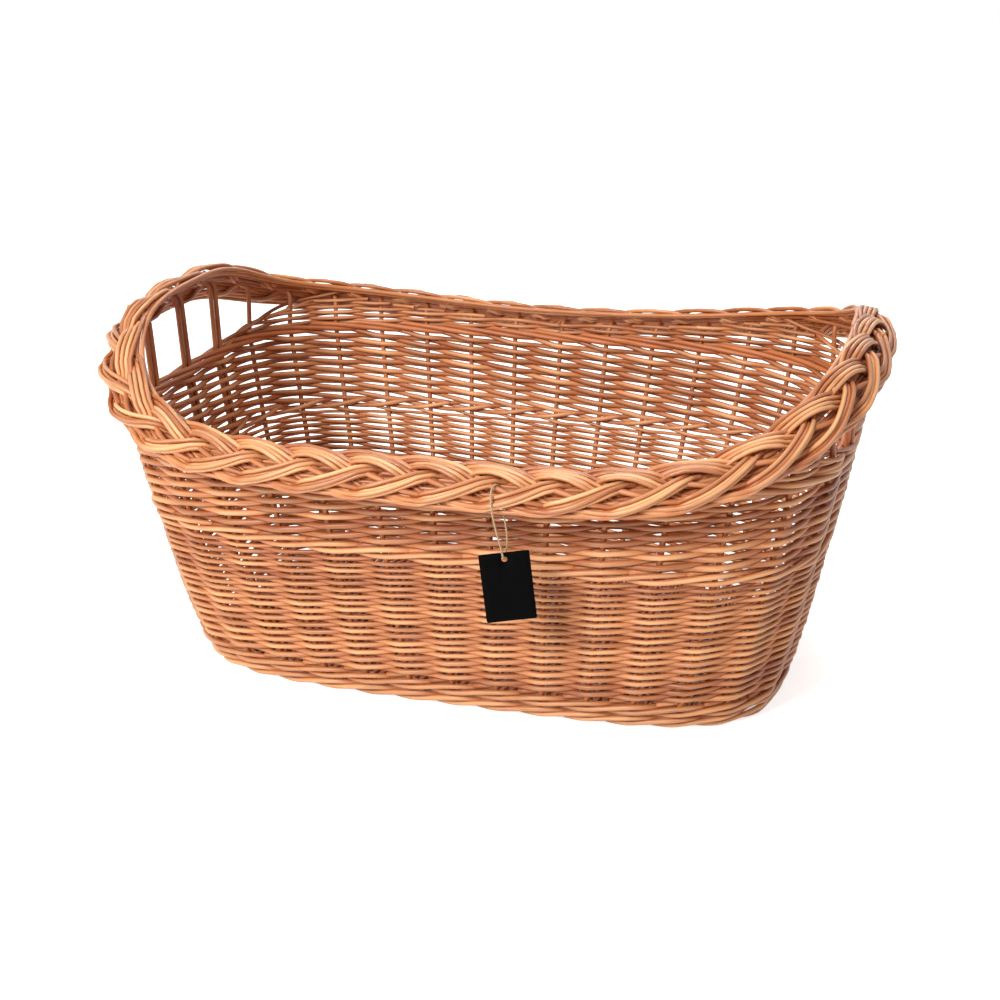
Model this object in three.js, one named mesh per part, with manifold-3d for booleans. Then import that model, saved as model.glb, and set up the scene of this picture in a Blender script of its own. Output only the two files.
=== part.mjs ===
// A wicker laundry basket with two open handles, built up as a basket maker builds it:
// base sticks and base mat, upright stakes, bands of weaving, a plaited border and a hanging tag.
// Millimetres, +Z up, +X along the basket. The origin is on the ground under the middle.

import * as THREE from 'three';
import { mergeVertices } from 'three/addons/utils/BufferGeometryUtils.js';
import Module from 'manifold-3d';

const wasm = await Module();
wasm.setup();

// Clearance between pieces that touch in the real basket
const FIT_GAP = 0.3;
const HOLE_OVERRUN = 2;

// Plan of the stakes' centre lines at the ground, and how far they flare up to the top of the siding
const FOOT_HALF_LENGTH = 255.5;
const FOOT_HALF_WIDTH = 146;
const FOOT_SQUARENESS = 3.8;
const FLARE_ALONG = 53;
const FLARE_ACROSS = 68;
const RIM_SQUARENESS = 3.7;
const FLARE_POWER = 0.72;

// Stakes, wider apart behind the hands
const STAKE_COUNT = 36;
const STAKE_DIAMETER = 5.2;
const END_SPREAD = 0.45;
const END_REACH = 0.062;
const DOUBLED_EACH_SIDE = 2;
const TAIL_LENGTH = 18;
const TAIL_BEND = 7;

// Bands of weaving, from the ground up
const WEAVER_DIAMETER = 3.9;
const WEAVE_RELIEF = 2.4;
const LOWER_SIDING_ROWS = 14;
const UPPER_SIDING_ROWS = 8;
const FOOT_WALE_HEIGHT = 33;
const LOWER_SIDING_HEIGHT = 117;
const MID_WALE_HEIGHT = 11;
const UPPER_SIDING_HEIGHT = 67;
const TOP_WALE_HEIGHT = 10;

// Base
const BASE_LIFT = 4;
const BASE_THICKNESS = 9;
const BASE_STICK_DIAMETER = 6.4;
const BASE_STICK_COUNT = 6;
const BASE_STICK_EDGE = 43;

// Plaited border, a flat braid leaning outwards
const BORDER_PAST_ENDS = 6.5;
const BORDER_PAST_SIDES = 23;
const BORDER_SQUARENESS = 3.12;
const BORDER_OVER_SIDING = 4;
const BORDER_RISE = 57;
const BORDER_RISE_POWER = 4;
const BORDER_FACE_WIDTH = 50;
const BORDER_THICKNESS = 20;
const BORDER_LEAN = THREE.MathUtils.degToRad(45);
const BORDER_CORNERS = 8;
const STAKE_SEAT_OUT = -5;
const STAKE_SEAT_UP = 3;
const STAKE_RISE_OVER_SIDING = 6;
const STAKE_LEAN_SHARE = 0.12;

// Packing rows that fill the corners between the siding and the rising border
const PACKING_LENGTH = 108.5;
const PACKING_WIDTH = 124;
const PACKING_CLIMB = 4;
const PACKING_DROP = 13;
const PACKING_THINNEST = 1;

// Tag on its loop of twine
const TAG_PLACE = 62;
const TAG_WIDTH = 39;
const TAG_HEIGHT = 57;
const TAG_THICKNESS = 1;
const TAG_HOLE_DIAMETER = 4.6;
const TAG_HOLE_EDGE = 5.5;
const TAG_TURN = THREE.MathUtils.degToRad(15.7);
const TAG_TILT = THREE.MathUtils.degToRad(6.7);
const TWINE_DIAMETER = 1.6;
const TWINE_SIDES = 8;
const BAR_FROM_MIDDLE = 15;
const BAR_RADIUS = 7;
const BAR_SLOT_WIDTH = 10;
const BAR_SLOT_DEPTH = 3.6;

// Twine's route round the bar: along the rim, outwards and up from the bar's middle
const TWINE_ROUTE = [
  [8, -0.2, -49], [7.9, -1.6, -48.6], [7.4, -2.7, -46], [6.4, -3.6, -41], [4.6, -5.2, -32],
  [2.6, -6.7, -22], [0.4, -7.8, -12], [-1.4, -8.3, -4], [-2, -8, 1.8], [-1.9, -6.2, 5.6],
  [-1.2, -3.2, 7.7], [0, 0, 8.4], [1.2, 3.2, 7.7], [1.9, 6.2, 5.6], [2.2, 8, 1.8],
  [2.8, 8.3, -4], [4.2, 7.8, -12], [5.8, 6.7, -22], [7, 5.2, -32], [7.8, 3.6, -41],
  [8.1, 2.7, -46], [8.1, 1.6, -48.6], [8, 0.2, -49],
];
const TWINE_STEPS = 40;

// Sizes that follow from the ones above
const rimHalfLength = FOOT_HALF_LENGTH + FLARE_ALONG;
const rimHalfWidth = FOOT_HALF_WIDTH + FLARE_ACROSS;
const borderHalfLength = rimHalfLength + BORDER_PAST_ENDS;
const borderHalfWidth = rimHalfWidth + BORDER_PAST_SIDES;
const lowerSidingBottom = FOOT_WALE_HEIGHT;
const midWaleBottom = lowerSidingBottom + LOWER_SIDING_HEIGHT;
const upperSidingBottom = midWaleBottom + MID_WALE_HEIGHT;
const topWaleBottom = upperSidingBottom + UPPER_SIDING_HEIGHT;
const sidingTop = topWaleBottom + TOP_WALE_HEIGHT;
const lowerSidingMiddle = lowerSidingBottom + LOWER_SIDING_HEIGHT / 2;
const borderSideHeight = sidingTop + BORDER_OVER_SIDING;
const borderEndHeight = borderSideHeight + BORDER_RISE;
const baseMiddle = BASE_LIFT + BASE_THICKNESS / 2;
const wallHalf = (STAKE_DIAMETER + 2 * WEAVER_DIAMETER) / 2;

// Colours and surfaces
const willow = new THREE.MeshStandardMaterial({ color: 0xc8804e, roughness: 0.6, metalness: 0 });
const paleWillow = new THREE.MeshStandardMaterial({ color: 0xd99a66, roughness: 0.55, metalness: 0 });
const darkWillow = new THREE.MeshStandardMaterial({ color: 0xa9653a, roughness: 0.65, metalness: 0 });
const blackCard = new THREE.MeshStandardMaterial({ color: 0x101011, roughness: 0.5, metalness: 0 });
const jute = new THREE.MeshStandardMaterial({ color: 0xb59a6c, roughness: 0.9, metalness: 0 });

// Share of the way round at which each stake stands, crowded less at the two ends
function stakeShares(count) {
  const fine = 3600;
  const sums = [0];
  for (let i = 0; i < fine; i += 1) {
    const share = (i + 0.5) / fine;
    const away = Math.abs(((share + 0.25) % 0.5) - 0.25);
    const crowding = 1 / (1 + END_SPREAD * Math.exp(-((away / END_REACH) ** 2)));
    sums.push(sums[i] + crowding);
  }
  const shares = [];
  let at = 0;
  for (let k = 0; k < count; k += 1) {
    const wanted = (k / count) * sums[fine];
    while (sums[at + 1] < wanted) at += 1;
    const part = (wanted - sums[at]) / (sums[at + 1] - sums[at]);
    shares.push((at + part) / fine);
  }
  return shares;
}

// Corners of a rounded rectangle (a superellipse), at the given shares of its perimeter
function roundedRectangle(halfLength, halfWidth, squareness, shares) {
  const fine = 4800;
  const points = [];
  const sums = [0];
  for (let i = 0; i <= fine; i += 1) {
    const turn = (i / fine) * 2 * Math.PI;
    const c = Math.cos(turn);
    const s = Math.sin(turn);
    const x = halfLength * Math.sign(c) * Math.abs(c) ** (2 / squareness);
    const y = halfWidth * Math.sign(s) * Math.abs(s) ** (2 / squareness);
    points.push(new THREE.Vector2(x, y));
    if (i > 0) sums.push(sums[i - 1] + points[i].distanceTo(points[i - 1]));
  }
  let at = 0;
  return shares.map((share) => {
    const wanted = share * sums[fine];
    while (sums[at + 1] < wanted) at += 1;
    const part = (wanted - sums[at]) / (sums[at + 1] - sums[at]);
    return points[at].clone().lerp(points[at + 1], part);
  });
}

// Outward direction at each corner of a closed plan, lengthened so that an offset keeps its wall
function outwardAt(plan) {
  return plan.map((point, i) => {
    const before = plan[(i + plan.length - 1) % plan.length];
    const after = plan[(i + 1) % plan.length];
    const side = after.clone().sub(point).normalize();
    const across = after.clone().sub(before).normalize();
    const halfAngle = Math.abs(side.cross(across));
    const stretch = 1 / Math.sqrt(1 - halfAngle * halfAngle);
    return new THREE.Vector2(across.y, -across.x).multiplyScalar(stretch);
  });
}

const shares = stakeShares(STAKE_COUNT);
const breakHeights = [0, lowerSidingBottom, lowerSidingMiddle, midWaleBottom, sidingTop];

// Plan of the stakes at one of the heights where the flare changes
function breakPlan(height) {
  const rise = (height / sidingTop) ** FLARE_POWER;
  return roundedRectangle(
    THREE.MathUtils.lerp(FOOT_HALF_LENGTH, rimHalfLength, rise),
    THREE.MathUtils.lerp(FOOT_HALF_WIDTH, rimHalfWidth, rise),
    THREE.MathUtils.lerp(FOOT_SQUARENESS, RIM_SQUARENESS, rise),
    shares,
  );
}

const breakPlans = breakHeights.map(breakPlan);

// Plan of the stakes at any height: they run straight from one break to the next
function wallPlan(height) {
  let at = 0;
  while (at < breakHeights.length - 2 && breakHeights[at + 1] < height) at += 1;
  const part = (height - breakHeights[at]) / (breakHeights[at + 1] - breakHeights[at]);
  return breakPlans[at].map((point, k) => point.clone().lerp(breakPlans[at + 1][k], part));
}

// Border's middle line, with two points for each stake
const borderShares = shares.flatMap((share, k) => {
  const next = k + 1 < STAKE_COUNT ? shares[k + 1] : 1;
  return [share, (share + next) / 2];
});
const borderPlan = roundedRectangle(borderHalfLength, borderHalfWidth, BORDER_SQUARENESS, borderShares);
const borderOutward = outwardAt(borderPlan);

function borderHeight(x) {
  const rise = Math.abs(x / borderHalfLength) ** BORDER_RISE_POWER;
  return THREE.MathUtils.lerp(borderSideHeight, borderEndHeight, rise);
}

// A point of the border's section, given outwards and up from its middle line
function borderPoint(index, out, up) {
  const middle = borderPlan[index];
  const spot = middle.clone().addScaledVector(borderOutward[index], out);
  return new THREE.Vector3(spot.x, spot.y, borderHeight(middle.x) + up);
}

// A rod's line, straight between its points and sampled exactly at them.
// Its section keeps one axis along the rim, so that a doubled rod stays flat to the wall.
class RodLine extends THREE.Curve {
  constructor(points, alongRim) {
    super();
    this.points = points;
    this.alongRim = alongRim;
  }

  getPoint(t) {
    const last = this.points.length - 1;
    const at = Math.min(Math.floor(t * last + 1e-9), last - 1);
    return this.points[at].clone().lerp(this.points[at + 1], t * last - at);
  }

  getPointAt(u) {
    return this.getPoint(u);
  }

  getTangentAt(u) {
    const last = this.points.length - 1;
    const at = Math.round(u * last);
    const here = this.points[at];
    const way = new THREE.Vector3();
    if (at > 0) way.add(here.clone().sub(this.points[at - 1]).normalize());
    if (at < last) way.add(this.points[at + 1].clone().sub(here).normalize());
    return way.normalize();
  }

  computeFrenetFrames(segments) {
    const tangents = [];
    const normals = [];
    const binormals = [];
    for (let i = 0; i <= segments; i += 1) {
      const tangent = this.getTangentAt(i / segments);
      const normal = this.alongRim.clone().cross(tangent).normalize();
      tangents.push(tangent);
      normals.push(normal);
      binormals.push(tangent.clone().cross(normal));
    }
    return { tangents, normals, binormals };
  }
}

// Section of a rod with a few flat sides; a doubled one is two rods wide along the rim
function rodSection(radius, sides, doubled) {
  const corners = [];
  for (let i = 0; i < sides; i += 1) {
    const turn = ((i + 0.5) / sides) * 2 * Math.PI;
    const y = radius * Math.sin(turn);
    corners.push(new THREE.Vector2(radius * Math.cos(turn), y + (doubled ? Math.sign(y) * radius : 0)));
  }
  return corners;
}

// Square-cornered section of the hole round a rod, with its clearance
function holeSection(corners) {
  const halfX = Math.max(...corners.map((corner) => corner.x)) + FIT_GAP;
  const halfY = Math.max(...corners.map((corner) => corner.y)) + FIT_GAP;
  return [
    new THREE.Vector2(halfX, halfY),
    new THREE.Vector2(-halfX, halfY),
    new THREE.Vector2(-halfX, -halfY),
    new THREE.Vector2(halfX, -halfY),
  ];
}

function sweep(points, corners, alongRim) {
  const line = new RodLine(points, alongRim);
  const shape = new THREE.Shape(corners);
  return new THREE.ExtrudeGeometry(shape, { steps: points.length - 1, bevelEnabled: false, extrudePath: line });
}

// Turns a closed geometry into a solid for cutting and joining
function toSolid(geometry) {
  const bare = geometry.clone();
  bare.deleteAttribute('normal');
  bare.deleteAttribute('uv');
  const merged = mergeVertices(bare, 1e-4);
  const corners = Float32Array.from(merged.attributes.position.array);
  const build = (triangles) => {
    const mesh = new wasm.Mesh({ numProp: 3, vertProperties: corners, triVerts: triangles });
    return new wasm.Manifold(mesh);
  };
  const triangles = Uint32Array.from(merged.index.array).filter((v, i, all) => {
    const first = i - (i % 3);
    const [a, b, c] = [all[first], all[first + 1], all[first + 2]];
    return a !== b && b !== c && c !== a;
  });
  const solid = build(triangles);
  if (solid.volume() > 0) return solid;
  for (let i = 0; i < triangles.length; i += 3) {
    [triangles[i + 1], triangles[i + 2]] = [triangles[i + 2], triangles[i + 1]];
  }
  return build(triangles);
}

function toGeometry(solid) {
  const mesh = solid.getMesh();
  const corners = [];
  for (let i = 0; i < mesh.vertProperties.length; i += mesh.numProp) {
    corners.push(mesh.vertProperties[i], mesh.vertProperties[i + 1], mesh.vertProperties[i + 2]);
  }
  const geometry = new THREE.BufferGeometry();
  geometry.setAttribute('position', new THREE.Float32BufferAttribute(corners, 3));
  geometry.setIndex(Array.from(mesh.triVerts));
  geometry.computeVertexNormals();
  return geometry;
}

const basket = new THREE.Group();

function addPiece(name, solid, material) {
  const mesh = new THREE.Mesh(toGeometry(solid), material);
  mesh.name = name;
  basket.add(mesh);
}

// A ring or plate turned as a round one, then carried corner by corner to its place on the basket
function carriedRing(profileCount, segments, place) {
  const latheRadius = 3;
  const profile = [];
  for (let j = 0; j < profileCount; j += 1) {
    const turn = (j / profileCount) * 2 * Math.PI;
    profile.push(new THREE.Vector2(latheRadius + Math.cos(turn), Math.sin(turn)));
  }
  profile.push(profile[0].clone());
  const ring = new THREE.LatheGeometry(profile, segments);
  const spots = ring.attributes.position;
  for (let i = 0; i <= segments; i += 1) {
    for (let j = 0; j <= profileCount; j += 1) {
      const spot = place(i % segments, j % profileCount);
      spots.setXYZ(i * (profileCount + 1) + j, spot.x, spot.y, spot.z);
    }
  }
  return toSolid(ring);
}

// One band of weaving with the wall's thickness. Where it has relief, its rows stand out in front
// of one stake and behind the next, by turns from row to row.
function bandSolid(heights, relief, topAt) {
  const levels = heights.map((height) => {
    const plan = wallPlan(height);
    return { height, plan, outward: outwardAt(plan) };
  });
  const last = levels.length - 1;
  return carriedRing(2 * levels.length, STAKE_COUNT, (k, j) => {
    const outer = j <= last;
    const level = outer ? last - j : j - levels.length;
    const { height, plan, outward } = levels[level];
    const inFront = (k + level) % 2 === 0;
    const half = inFront === outer ? wallHalf : wallHalf - relief;
    const spot = plan[k].clone().addScaledVector(outward[k], outer ? half : -half);
    const z = topAt && level === last ? topAt(k) : height;
    return new THREE.Vector3(spot.x, spot.y, z);
  });
}

// A stake's line: a tail in the base, a bend, straight runs up the wall and the end in the border
const STATIONS = {
  tail: 0, bend: 1, rise: 2, lowerSiding: 3, lowerMiddle: 4, midWale: 5, sidingTop: 6, overSiding: 7, seat: 8,
};

function stakePoints(k) {
  const foot = breakPlans[0][k];
  const inward = outwardAt(breakPlans[0])[k].clone().normalize().negate();
  const onGround = (inwards, z) => {
    const spot = foot.clone().addScaledVector(inward, inwards);
    return new THREE.Vector3(spot.x, spot.y, z);
  };
  const wallPoint = (height) => {
    const spot = wallPlan(height)[k];
    return new THREE.Vector3(spot.x, spot.y, height);
  };
  const top = wallPoint(sidingTop);
  const seat = borderPoint(2 * k, STAKE_SEAT_OUT, STAKE_SEAT_UP);
  const overSiding = new THREE.Vector3(top.x, top.y, sidingTop + STAKE_RISE_OVER_SIDING);
  return [
    onGround(wallHalf + TAIL_LENGTH, baseMiddle),
    onGround(TAIL_BEND, baseMiddle),
    wallPoint(baseMiddle + TAIL_BEND),
    wallPoint(lowerSidingBottom),
    wallPoint(lowerSidingMiddle),
    wallPoint(midWaleBottom),
    top,
    overSiding.lerp(seat, STAKE_LEAN_SHARE),
    seat,
  ];
}

function lengthened(points, atStart, atEnd) {
  const longer = points.map((point) => point.clone());
  const last = points.length - 1;
  longer[0].add(points[0].clone().sub(points[1]).setLength(atStart));
  longer[last].add(points[last].clone().sub(points[last - 1]).setLength(atEnd));
  return longer;
}

// How many stakes away the middle of the nearer end is
function stepsFromEnd(k) {
  return Math.min(k, STAKE_COUNT - k, Math.abs(k - STAKE_COUNT / 2));
}

// Stakes; those behind the hands are doubled, a stake with its bye-stake beside it
const stakes = [];
for (let k = 0; k < STAKE_COUNT; k += 1) {
  const doubled = stepsFromEnd(k) < DOUBLED_EACH_SIDE;
  const rim = outwardAt(breakPlans[0])[k].clone().normalize();
  const alongRim = new THREE.Vector3(-rim.y, rim.x, 0);
  const corners = rodSection(STAKE_DIAMETER / 2, doubled ? 8 : 6, doubled);
  const points = stakePoints(k);
  stakes.push({ points, corners, alongRim });
  addPiece(`stake_${String(k + 1).padStart(2, '0')}`, toSolid(sweep(points, corners, alongRim)), willow);
}

// Holes round all the stakes, from one station of their lines to another and a little past both
function stakeHoles(from, to) {
  return wasm.Manifold.union(stakes.map(({ points, corners, alongRim }) => {
    const run = points.slice(STATIONS[from], STATIONS[to] + 1);
    const atStart = from === 'tail' ? FIT_GAP : HOLE_OVERRUN;
    const atEnd = to === 'seat' ? FIT_GAP : HOLE_OVERRUN;
    return toSolid(sweep(lengthened(run, atStart, atEnd), holeSection(corners), alongRim));
  }));
}
const bandHoles = stakeHoles('midWale', 'sidingTop');

// Base: a woven mat on long sticks, inside the ring of the foot
const matInset = -wallHalf - FIT_GAP;
const matPlan = roundedRectangle(FOOT_HALF_LENGTH, FOOT_HALF_WIDTH, FOOT_SQUARENESS, shares);
const matOutward = outwardAt(matPlan);
const matProfile = [
  new THREE.Vector2(0, BASE_LIFT),
  new THREE.Vector2(1, BASE_LIFT),
  new THREE.Vector2(1, BASE_LIFT + BASE_THICKNESS),
  new THREE.Vector2(0, BASE_LIFT + BASE_THICKNESS),
];
const matGeometry = new THREE.LatheGeometry(matProfile, STAKE_COUNT);
const matSpots = matGeometry.attributes.position;
for (let i = 0; i <= STAKE_COUNT; i += 1) {
  const edge = matPlan[i % STAKE_COUNT].clone().addScaledVector(matOutward[i % STAKE_COUNT], matInset);
  matProfile.forEach((corner, j) => {
    matSpots.setXYZ(i * matProfile.length + j, corner.x * edge.x, corner.x * edge.y, corner.y);
  });
}
let mat = toSolid(matGeometry).subtract(stakeHoles('tail', 'bend'));

// How far along the basket the mat reaches at a distance from its middle line
function matReach(y) {
  const halfWidth = FOOT_HALF_WIDTH + matInset;
  const share = 1 - (Math.abs(y) / halfWidth) ** FOOT_SQUARENESS;
  return (FOOT_HALF_LENGTH + matInset) * share ** (1 / FOOT_SQUARENESS);
}

const stickRadius = BASE_STICK_DIAMETER / 2;
const stickFirst = BASE_STICK_EDGE - FOOT_HALF_WIDTH;
for (let i = 0; i < BASE_STICK_COUNT; i += 1) {
  const place = THREE.MathUtils.lerp(stickFirst, -stickFirst, i / (BASE_STICK_COUNT - 1));
  const reach = matReach(Math.abs(place) + BASE_STICK_DIAMETER) - TAIL_LENGTH - WEAVER_DIAMETER;
  const stick = new THREE.CylinderGeometry(stickRadius, stickRadius, 2 * reach, 8);
  const tunnel = new THREE.CylinderGeometry(
    stickRadius + FIT_GAP,
    stickRadius + FIT_GAP,
    2 * FOOT_HALF_LENGTH,
    8,
  );
  for (const rod of [stick, tunnel]) {
    rod.rotateZ(Math.PI / 2);
    rod.translate(0, place, baseMiddle);
  }
  mat = mat.subtract(toSolid(tunnel));
  addPiece(`base_stick_${i + 1}`, toSolid(stick), darkWillow);
}
addPiece('base_mat', mat, darkWillow);

// Bands of weaving round the stakes
function addBand(name, heights, relief, holes, material) {
  const raised = [heights[0] + (heights[0] > 0 ? FIT_GAP : 0), ...heights.slice(1)];
  addPiece(name, bandSolid(raised, relief).subtract(holes), material);
}

// Heights of a siding's rows, each of which stands out at every second stake
function rowHeights(bottom, height, rows) {
  return Array.from({ length: rows + 1 }, (_, row) => bottom + (height * row) / rows);
}
const lowerRows = rowHeights(lowerSidingBottom, LOWER_SIDING_HEIGHT, LOWER_SIDING_ROWS);
const upperRows = rowHeights(upperSidingBottom, UPPER_SIDING_HEIGHT, UPPER_SIDING_ROWS);
addBand('foot_wale', [0, lowerSidingBottom], 0, stakeHoles('tail', 'lowerSiding'), darkWillow);
addBand('lower_siding', lowerRows, WEAVE_RELIEF, stakeHoles('lowerSiding', 'midWale'), willow);
addBand('mid_wale', [midWaleBottom, upperSidingBottom], 0, bandHoles, paleWillow);
addBand('upper_siding', upperRows, WEAVE_RELIEF, bandHoles, willow);
addBand('top_wale', [topWaleBottom, sidingTop], 0, bandHoles, paleWillow);

// Border ring, and the space round it at a clearance
function borderSolid(clearance) {
  return carriedRing(BORDER_CORNERS, 2 * STAKE_COUNT, (index, j) => {
    const turn = -(j / BORDER_CORNERS) * 2 * Math.PI;
    const across = (BORDER_FACE_WIDTH / 2 + clearance) * Math.cos(turn);
    const thick = (BORDER_THICKNESS / 2 + clearance) * Math.sin(turn);
    const out = across * Math.cos(BORDER_LEAN) + thick * Math.sin(BORDER_LEAN);
    const up = thick * Math.cos(BORDER_LEAN) - across * Math.sin(BORDER_LEAN);
    return borderPoint(index, out, up);
  });
}

// The tag's bar is the rounded lower edge of the border, freed by a slot for the twine
const barIndex = borderPlan.reduce((best, point, i) => {
  const isFront = point.y < 0;
  const closer = Math.abs(point.x - TAG_PLACE) < Math.abs(borderPlan[best].x - TAG_PLACE);
  return isFront && (closer || borderPlan[best].y > 0) ? i : best;
}, 0);
const barOut = BAR_FROM_MIDDLE * Math.cos(BORDER_LEAN);
const bar = borderPoint(barIndex, barOut, -BAR_FROM_MIDDLE * Math.sin(BORDER_LEAN));
bar.x = TAG_PLACE;
const slotProfile = [
  new THREE.Vector2(BAR_RADIUS, -BAR_SLOT_WIDTH / 2),
  new THREE.Vector2(BAR_RADIUS + BAR_SLOT_DEPTH, -BAR_SLOT_WIDTH / 2),
  new THREE.Vector2(BAR_RADIUS + BAR_SLOT_DEPTH, BAR_SLOT_WIDTH / 2),
  new THREE.Vector2(BAR_RADIUS, BAR_SLOT_WIDTH / 2),
  new THREE.Vector2(BAR_RADIUS, -BAR_SLOT_WIDTH / 2),
];
const slot = new THREE.LatheGeometry(slotProfile, 16);
slot.rotateZ(Math.PI / 2);
slot.translate(bar.x, bar.y, bar.z);
const border = borderSolid(0).subtract(stakeHoles('overSiding', 'seat')).subtract(toSolid(slot));
addPiece('plaited_border', border, paleWillow);

// Packing rows: a ring under the border, of which only the four corner stretches are kept.
// Its top climbs a little from stake to stake away from the hand hole, up to the border.
const packingRing = bandSolid([sidingTop + FIT_GAP, sidingTop + PACKING_THINNEST], 0, (k) => {
  const under = borderHeight(borderPlan[2 * k].x) - PACKING_DROP - FIT_GAP;
  const climbed = sidingTop + PACKING_CLIMB * (stepsFromEnd(k) - 1);
  return Math.max(sidingTop + PACKING_THINNEST, Math.min(under, climbed));
});
const packingSpace = packingRing.subtract(stakeHoles('sidingTop', 'seat')).subtract(borderSolid(FIT_GAP));
const packingCorners = { front_right: [1, -1], back_right: [1, 1], back_left: [-1, 1], front_left: [-1, -1] };
for (const [corner, [sideX, sideY]] of Object.entries(packingCorners)) {
  const keep = new THREE.BoxGeometry(rimHalfLength, rimHalfWidth, borderEndHeight);
  const middleX = rimHalfLength * 1.5 - PACKING_LENGTH;
  const middleY = rimHalfWidth * 1.5 - PACKING_WIDTH;
  keep.translate(sideX * middleX, sideY * middleY, sidingTop);
  addPiece(`packing_${corner}`, packingSpace.intersect(toSolid(keep)), willow);
}

// Twine loop and card, hanging from the bar
const twineLine = new THREE.CatmullRomCurve3(
  TWINE_ROUTE.map(([along, out, up]) => new THREE.Vector3(bar.x + along, bar.y - out, bar.z + up)),
);
const twineSection = new THREE.Shape(rodSection(TWINE_DIAMETER / 2, TWINE_SIDES, false));
const twine = new THREE.ExtrudeGeometry(twineSection, {
  steps: TWINE_STEPS,
  bevelEnabled: false,
  extrudePath: twineLine,
});
addPiece('tag_twine', toSolid(twine), jute);

const cardShape = new THREE.Shape([
  new THREE.Vector2(-TAG_WIDTH / 2, TAG_HOLE_EDGE - TAG_HEIGHT),
  new THREE.Vector2(TAG_WIDTH / 2, TAG_HOLE_EDGE - TAG_HEIGHT),
  new THREE.Vector2(TAG_WIDTH / 2, TAG_HOLE_EDGE),
  new THREE.Vector2(-TAG_WIDTH / 2, TAG_HOLE_EDGE),
]);
cardShape.holes.push(new THREE.Path().absarc(0, 0, TAG_HOLE_DIAMETER / 2, 0, 2 * Math.PI, true));
const card = new THREE.ExtrudeGeometry(cardShape, { depth: TAG_THICKNESS, bevelEnabled: false, curveSegments: 12 });
card.translate(0, 0, -TAG_THICKNESS / 2);
card.rotateZ(TAG_TILT);
card.rotateX(Math.PI / 2);
card.rotateZ(TAG_TURN);
const holeBelowTwine = (TAG_HOLE_DIAMETER - TWINE_DIAMETER) / 2 - FIT_GAP;
card.translate(bar.x + TWINE_ROUTE[0][0], bar.y, bar.z + TWINE_ROUTE[0][2] - holeBelowTwine);
addPiece('tag_card', toSolid(card), blackCard);

export default basket;
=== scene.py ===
"""A wicker laundry basket with two open handles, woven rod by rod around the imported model.

Lengths are in millimetres in each section's values, and become metres where a mesh is made.
A place on the wall is given by a stake coordinate (0 to 36, whole numbers at the stakes,
counter-clockwise seen from above, 0 at the middle of the +X end), a height and a distance outwards.
"""
import math

import bpy
import numpy as np
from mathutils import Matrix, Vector


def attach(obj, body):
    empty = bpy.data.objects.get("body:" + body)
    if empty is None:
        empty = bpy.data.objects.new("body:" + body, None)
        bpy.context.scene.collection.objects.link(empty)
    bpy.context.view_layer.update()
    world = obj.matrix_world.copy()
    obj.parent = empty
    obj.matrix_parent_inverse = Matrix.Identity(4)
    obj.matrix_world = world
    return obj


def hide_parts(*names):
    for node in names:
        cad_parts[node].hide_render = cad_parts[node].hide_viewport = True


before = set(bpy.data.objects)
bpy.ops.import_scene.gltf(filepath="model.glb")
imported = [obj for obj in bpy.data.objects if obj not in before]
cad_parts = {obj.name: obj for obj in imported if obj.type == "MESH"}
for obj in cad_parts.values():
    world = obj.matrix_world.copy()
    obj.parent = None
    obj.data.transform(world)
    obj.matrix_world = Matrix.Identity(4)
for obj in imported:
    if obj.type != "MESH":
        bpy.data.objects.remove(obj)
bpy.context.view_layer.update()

# Camera, from the front and a little above, with the whole basket in a square picture
CAMERA_PLACE = (382.8, -1364.8, 662.7)
CAMERA_AIM = (-8.95, 20.1, 125.23)
CAMERA_LENS = 59.57
CAMERA_SENSOR = 36.0
MM = 0.001

camera_data = bpy.data.cameras.new("camera")
camera_data.lens = CAMERA_LENS
camera_data.sensor_width = CAMERA_SENSOR
camera = bpy.data.objects.new("camera", camera_data)
bpy.context.scene.collection.objects.link(camera)
camera.location = Vector(CAMERA_PLACE) * MM
camera.rotation_euler = (Vector(CAMERA_AIM) - Vector(CAMERA_PLACE)).to_track_quat("-Z", "Y").to_euler()
bpy.context.scene.camera = camera


# Jute twine: one loop of two-ply natural jute, passed round a rod of the border's lower edge
# and through the hole of the card. It is spun from two hairy plies with a turn every few millimetres.
TWINE_BAR = (62.0, -246.828, 231.552)
TWINE_DIAMETER = 1.6
TWINE_PLY_TURN = 4.2
TWINE_SIDES = 14
TWINE_STEPS = 520
TWINE_GROOVE = 0.38
TWINE_HAIRS = 260
TWINE_HAIR_LENGTH = 2.2
TWINE_HAIR_LEAST = 0.35
TWINE_HAIR_CURL = 0.5
TWINE_HAIR_RADIUS = 0.035
TWINE_HAIR_STEPS = 5
TWINE_PALE = "#D6BC8A"
TWINE_DARK = "#8A6A42"
# Along the rim, outwards and up from the middle of the rod that it hangs on: up behind the braid,
# over the rod, and down in front of the braid's lower edge
TWINE_ROUTE = [
    [8, -0.2, -49], [8.3, -1.6, -48.6], [8.6, -2.7, -46], [8.9, -3.6, -41], [8.5, -5.2, -32],
    [6.5, -6.7, -22], [4.5, -7.8, -12], [2.8, -8.3, -4], [2.2, -8, 1.8], [1.9, -6.2, 5.6],
    [1.2, -3.2, 7.7], [0.4, 0, 8.4], [-0.2, 3.2, 7.7], [-0.5, 6.2, 5.6], [-0.2, 8.4, 1.8],
    [0.9, 11.3, -4], [2.6, 13.0, -12], [4.1, 11.0, -22], [5.6, 7.6, -32], [6.9, 4.6, -41],
    [7.3, 3.0, -46], [7.7, 1.6, -48.6], [8, 0.2, -49],
]


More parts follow.
